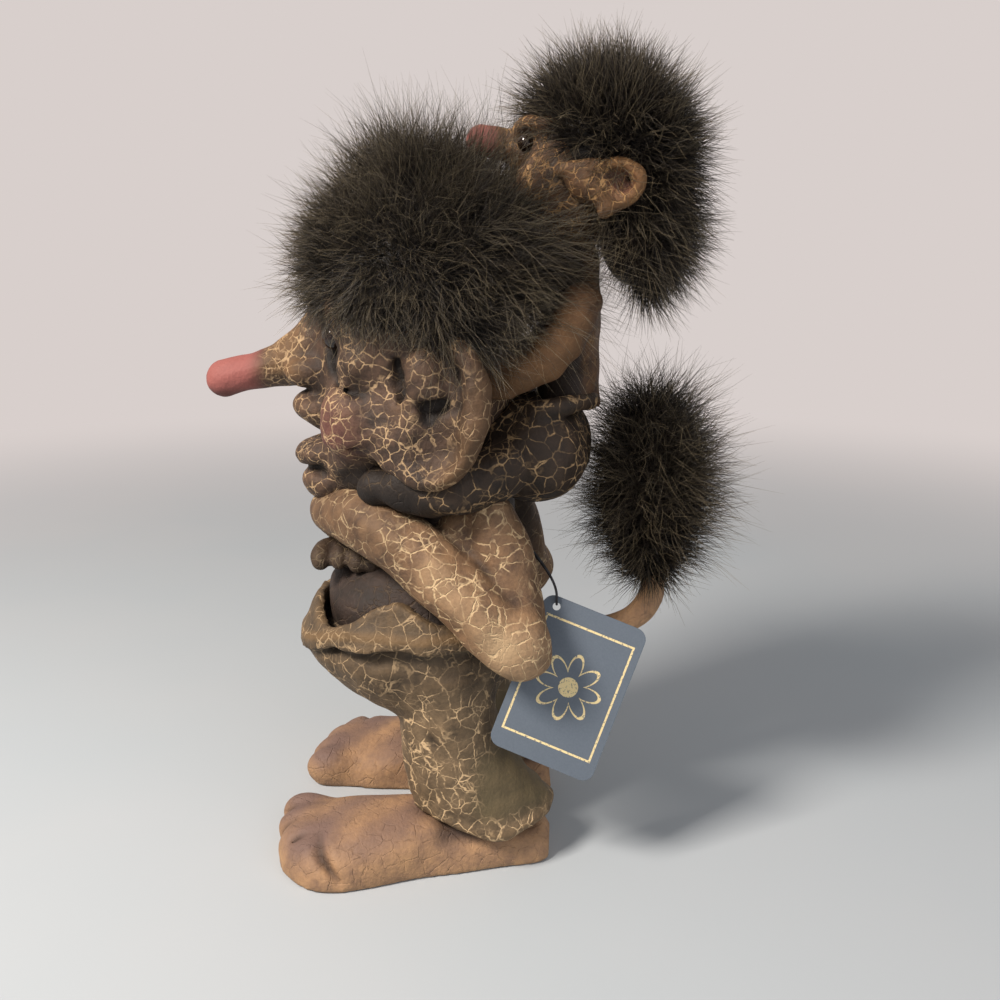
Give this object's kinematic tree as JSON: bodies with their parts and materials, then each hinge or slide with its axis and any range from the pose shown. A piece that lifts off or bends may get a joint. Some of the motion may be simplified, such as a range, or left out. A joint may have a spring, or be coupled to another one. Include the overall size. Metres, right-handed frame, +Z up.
{
  "type": "troll figure",
  "caption": "Standing latex folk troll with folded arms, long nose and fur hair, carrying a child on its shoulders, with a tufted tail and a card swing tag.",
  "frame": {"origin": "on the floor, under the middle of the figure's box", "axes": "+Z up, -Y the way the figure faces, +X its left side"},
  "size_m": [0.0892, 0.142, 0.214],
  "materials": {
    "skin_latex": "painted, crackled, matt",
    "olive_latex": "painted, crackled, matt",
    "dark_latex": "painted, crackled, matt",
    "foot_latex": "painted, matt",
    "foam": "soft stuffing",
    "fur": "long pile",
    "eye_glass": "gloss",
    "wire": "drawn",
    "card": "satin card",
    "thread": "twisted"
  },
  "bodies": {
    "figure": {"trousers": "olive_latex", "torso": "dark_latex", "body_filling": "foam", "left_foot": "foot_latex", "right_foot": "foot_latex", "left_arm": "skin_latex", "right_arm": "skin_latex", "head": "skin_latex", "head_filling": "foam", "left_eye": "eye_glass", "right_eye": "eye_glass", "hair": "fur", "child_trousers": "dark_latex", "child_torso": "skin_latex", "child_left_leg": "dark_latex", "child_right_leg": "dark_latex", "child_left_arm": "skin_latex", "child_right_arm": "skin_latex", "child_head": "skin_latex", "child_left_eye": "eye_glass", "child_right_eye": "eye_glass", "child_hair": "fur", "tag_thread": "thread"},
    "tail": {"tail": "skin_latex", "tail_wire": "wire", "tail_tuft": "fur"},
    "tag": {"tag_card": "card"}
  },
  "joints": [
    {"name": "tag_swing", "type": "hinge", "parent": "figure", "child": "tag", "pos_m": [0.0218, 0.025, 0.0726], "axis": [0.9588, 0, 0.284], "range_deg": [-4, 20]},
    {"name": "tail_sway", "type": "hinge", "parent": "figure", "child": "tail", "pos_m": [0, 0.01885, 0.052], "axis": [0, 0, 1], "range_deg": [-12, 12]}
  ]
}
